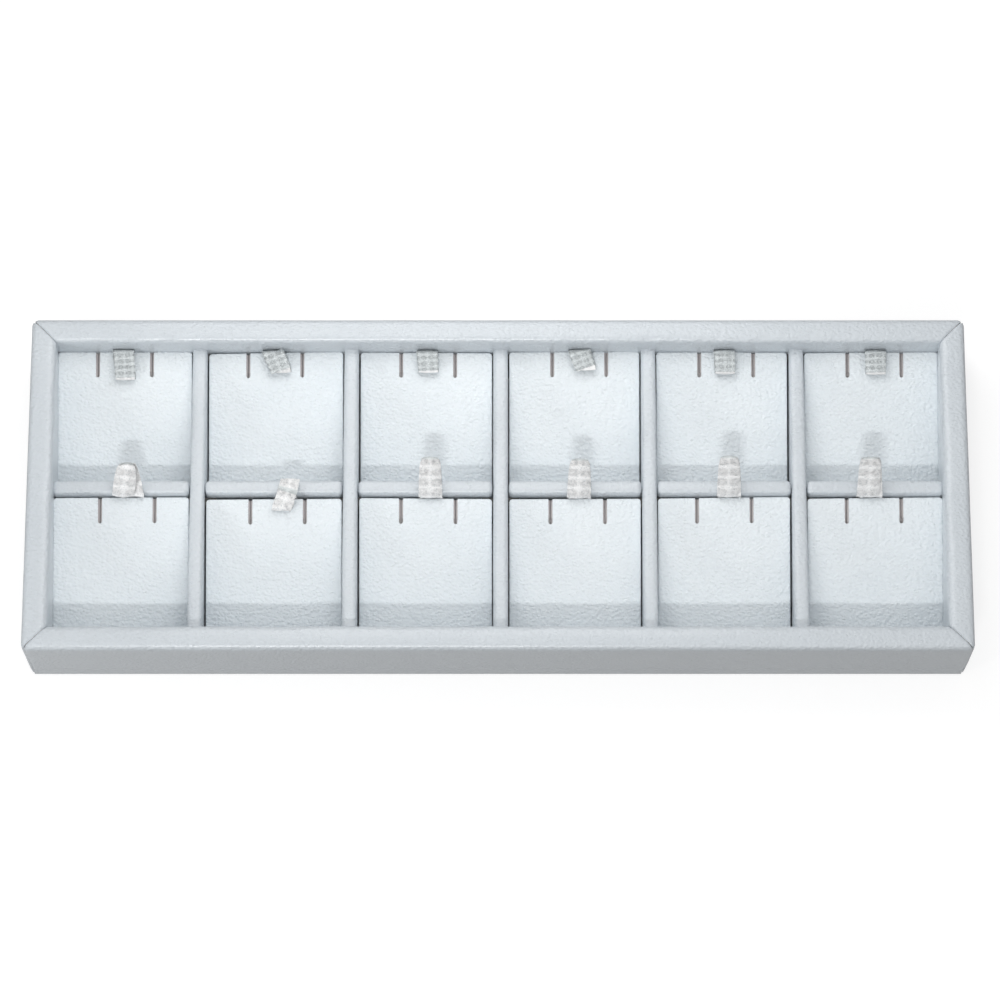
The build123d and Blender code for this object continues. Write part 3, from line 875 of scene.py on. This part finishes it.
def makeRibbonTree():
    tree = bpy.data.node_groups.new("ribbonLoop", "GeometryNodeTree")
    calc, vector = mathOn(tree), vectorsOn(tree)
    given = addInputs(tree, ("Path", "Width", "Rib Pitch", "Rib Height", "Rib Slant", "Rib Break", "Crinkle",
                             "Crinkle Size", "Cup", "Crease", "Tip Pinch", "Tip Narrow", "Seed", "Material"))
    path = addNode(tree, "GeometryNodeObjectInfo", {"Object": given["Path"]}).outputs["Geometry"]
    length = addNode(tree, "GeometryNodeCurveLength", {"Curve": path}).outputs[0]
    sheet = addNode(tree, "GeometryNodeMeshGrid", {"Size X": 1.0, "Size Y": 1.0, "Vertices X": ribbon["cells"],
                                                   "Vertices Y": ribbon["rows"]})
    spot = splitAxes(tree, addNode(tree, "GeometryNodeInputPosition").outputs[0])
    side, share = spot["X"], calc("ADD", spot["Y"], 0.5)
    along = calc("MULTIPLY", share, length)
    # directions across the ribbon, kept level, and out of it
    sample = addNode(tree, "GeometryNodeSampleCurve", {"Curves": path, "Factor": share}, mode="FACTOR")
    tangent = sample.outputs["Tangent"]
    slip = vector("SCALE", tangent, vector("DOT_PRODUCT", tangent, (1, 0, 0)))
    across = vector("NORMALIZE", vector("SUBTRACT", (1, 0, 0), slip))
    outward = vector("CROSS_PRODUCT", across, tangent)
    # the width, less at the tip
    fromMiddle = calc("SUBTRACT", share, 0.5)
    fromTip = calc("DIVIDE", fromMiddle, ribbon["tipLength"])
    fromTip = calc("MULTIPLY", fromTip, fromTip)
    atTip = calc("EXPONENT", calc("MULTIPLY", fromTip, falls["pinch"]))
    nearTip = calc("EXPONENT", calc("MULTIPLY", fromTip, falls["narrow"]))
    kept = calc("SUBTRACT", 1.0, calc("MULTIPLY", nearTip, given["Tip Narrow"]))
    kept = calc("SUBTRACT", kept, calc("MULTIPLY", atTip, given["Tip Pinch"]))
    width = calc("MULTIPLY", calc("MULTIPLY", side, given["Width"]), kept)
    # across and along the ribbon, and how near the fold at the tip is, 1 being 0.7 mm or so from it
    nearness = calc("ABSOLUTE", calc("DIVIDE", fromMiddle, ribbon["foldLength"]))
    strip = joinAxes(tree, width, along, nearness)
    # the height: ribs, folds, a cupped section and a crease along the middle
    scaled = vector("DIVIDE", joinAxes(tree, width, along, given["Seed"]), given["Crinkle Size"])
    folds = calc("SUBTRACT", addNoise(tree, scaled, 1.0, 2)[0], 0.5)
    fromSide = calc("ABSOLUTE", side)
    slant = calc("MULTIPLY", fromSide, given["Rib Slant"])
    turns = calc("ADD", calc("DIVIDE", along, given["Rib Pitch"]), slant)
    turns = calc("MULTIPLY_ADD", folds, given["Rib Break"], turns)
    ribs = calc("SINE", calc("MULTIPLY", turns, 2 * math.pi))
    square = calc("MULTIPLY", side, side)
    cup = calc("MULTIPLY", square, calc("MULTIPLY", given["Cup"], falls["cup"]))
    valley = calc("EXPONENT", calc("MULTIPLY", square, falls["crease"]))
    height = calc("MULTIPLY_ADD", ribs, given["Rib Height"], cup)
    height = calc("MULTIPLY_ADD", folds, given["Crinkle"], height)
    height = calc("SUBTRACT", height, calc("MULTIPLY", valley, given["Crease"]))
    # the ribs end in small beads along both edges
    edge = calc("POWER", calc("MULTIPLY", fromSide, 2.0), falls["edge"])
    beads = calc("MULTIPLY", calc("MULTIPLY", edge, ribs), given["Rib Height"])
    sideways = calc("MULTIPLY_ADD", beads, calc("SIGN", side), width)
    placed = vector("ADD", sample.outputs["Position"], vector("SCALE", across, sideways))
    placed = vector("ADD", placed, vector("SCALE", outward, height))
    marked = addNode(tree, "GeometryNodeStoreNamedAttribute",
                     {"Geometry": sheet.outputs["Mesh"], "Name": "strip", "Value": strip},
                     data_type="FLOAT_VECTOR", domain="POINT").outputs[0]
    woven = addNode(tree, "GeometryNodeSetPosition", {"Geometry": marked, "Position": placed}).outputs[0]
    finishTree(tree, woven, given["Material"])
    return tree


def loopRoute(shape, length, liesOpen):
    # the ribbon's route in the flat flap's frame, from under its upper edge, round the loop and back
    reach, rise, bulge, base, tip, fan = [shape[word] * mm for word in loopWords[:6]]
    lean = math.radians(shape["lean"])
    layer, bend = ribbon["layer"], ribbon["bend"]
    nearY, nearZ = length + ribbon["clear"], -flap["thickness"] - ribbon["clear"]
    farY, farZ, glued = nearY + layer, nearZ - layer, length - ribbon["glue"]
    ahead = Vector((0, math.cos(lean), math.sin(lean)))
    aside = Vector((0, -math.sin(lean), math.cos(lean)))
    root = Vector((0, nearY + layer / 2, rise))
    end = root + ahead * reach
    lift = layer * ahead.y
    stem, share = loopShares["stem"], loopShares["waist"]
    waist, belly = ahead * reach * share, aside * bulge * loopShares["waistBulge"]
    crown, back = aside * bulge * loopShares["crownBulge"], ahead * bulge * share
    turn = aside * bulge * loopShares["tipBulge"]
    near = [(glued, nearZ), (nearY - bend, nearZ), (nearY, nearZ), (nearY, nearZ + bend),
            (nearY, (rise + lift) * stem), (nearY, rise + lift)]
    far = [(farY, rise - lift), (farY, (rise - lift) * stem), (farY, nearZ + bend), (farY, farZ),
           (nearY - bend, farZ), (glued, farZ)]
    near = [Vector((0, y, z)) for y, z in near] + [root + waist + belly]
    crest = [end - back + crown, end + turn, end - turn, end - back - crown]
    far = [root + waist - belly] + [Vector((0, y, z)) for y, z in far]
    left, right, middle = [Vector((x, 0, 0)) for x in (base - fan / 2, base + fan / 2, tip)]
    if liesOpen:
        ring = [Vector((x * mm, length + y * mm, z * mm)) for x, y, z in openLoop]
        return [point + left for point in near[:4]] + ring + [point + right for point in far[3:]]
    near[-1] += (middle - left) * share
    far[0] += (middle - right) * share
    route = [point + left for point in near]
    route += [point + middle for point in crest]
    return route + [point + right for point in far]


def makeGuide(name, route):
    # a smooth curve near the places of the route
    curve = bpy.data.curves.new("route", "CURVE")
    curve.dimensions = "3D"
    curve.resolution_u = 24
    line = curve.splines.new("NURBS")
    line.points.add(len(route) - 1)
    for point, place in zip(line.points, route):
        point.co = (*place, 1)
    line.order_u = 3
    line.use_endpoint_u = True
    guide = bpy.data.objects.new(name, curve)
    bpy.context.scene.collection.objects.link(guide)
    return guide


def makeLoop(joint, row, index):
    body = joint["child"]
    number = str(index + 1)
    mood, folds = flapMoods[row][index], crumple[row]
    shape = dict(zip(loopWords, loops[row][index]))
    liesOpen = row == "front" and index == 1
    length = flapLength(joint) + (mood[1] + mood[2]) / 2 * mm
    guide = makeGuide("route" + row + number, loopRoute(shape, length, liesOpen))
    strip = addPiece(row + "Ribbon" + number, [], [])
    applyTree(strip, ribbonTree, {
        "Path": guide, "Width": ribbon["width"][row] * (ribbon["openShare"] if liesOpen else 1.0),
        "Rib Pitch": ribbon["rib"], "Rib Height": folds["rib"], "Rib Slant": shape["slant"],
        "Rib Break": folds["break"], "Crinkle": folds["fold"], "Crinkle Size": folds["size"],
        "Cup": shape["cup"] * mm, "Crease": shape["crease"] * mm,
        "Tip Pinch": 0.0 if liesOpen else folds["pinch"], "Tip Narrow": shape["narrow"],
        "Seed": ribbon["seed"][row] + index, "Material": silverRibbon[row]})
    thicken(strip, ribbon["thickness"], 0, False)
    settle(strip, ribbon["sharpAngle"])
    bpy.data.objects.remove(guide)
    placeFlap(strip, joint, mood[0] + mood[3])
    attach(strip, body)
    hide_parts(body + "_tab")


ribbonTree = makeRibbonTree()
for joint in frame["joints"]:
    makeLoop(joint, *rowAndIndex(joint))
print("ribbon loops made")


# Living hinges: a strip from the floor, up beside the flap's lower edge and over onto it
hinge = {"thickness": 0.4 * mm, "foot": 7.0 * mm, "gap": 0.2 * mm, "bend": 0.9 * mm, "turn": 1.5 * mm,
         "side": 0.3 * mm, "below": 0.1 * mm, "topRadius": 0.45 * mm, "cells": 36, "sway": 0.12 * mm,
         "swaySize": 9 * mm, "swaySeed": 5.0, "sharpAngle": 60}


def makeHinge(joint, row, index):
    spot = Vector(joint["pos_m"])
    low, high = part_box(joint["child"] + "_cover")
    half = (high.x - low.x) / 2 - hinge["side"]
    thickness, bend, radius = hinge["thickness"], hinge["bend"], hinge["topRadius"]
    face = spot.y - hinge["gap"] - thickness
    foot, upper, top = face + hinge["foot"], floorTop + thickness, spot.z - hinge["below"]
    profile = [(foot, upper)] + [(value, upper) for value in between(foot, face + bend, 6)]
    profile += [(face + bend - bend * s, upper + bend * (1 - c) - thickness * s) for s, c in quarter(5)]
    profile += [(face, value) for value in between(profile[-1][1], top - radius, 6)]
    profile += [(face + radius * (1 - c), top - radius * (1 - s)) for s, c in quarter(5)]
    points = []
    for i in range(hinge["cells"] + 1):
        x = spot.x - half + 2 * half * i / hinge["cells"]
        for y, z in profile:
            sway = hinge["sway"] * wave((x, z * 3, 0), hinge["swaySize"], hinge["swaySeed"] + index)
            points.append((x, y + sway * (z > floorTop + bend), z))
    faces = gridFaces(hinge["cells"] + 1, len(profile), turned=True)
    strip = addPiece(row + "HingeStrip" + str(index + 1), points, faces)
    thicken(strip, thickness)
    settle(strip, hinge["sharpAngle"])
    strip.data.materials.append(leatherOnFlap)
    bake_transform(strip)
    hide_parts(row + "_flap_hinges")


for joint in frame["joints"]:
    makeHinge(joint, *rowAndIndex(joint))
print("hinge strips made")
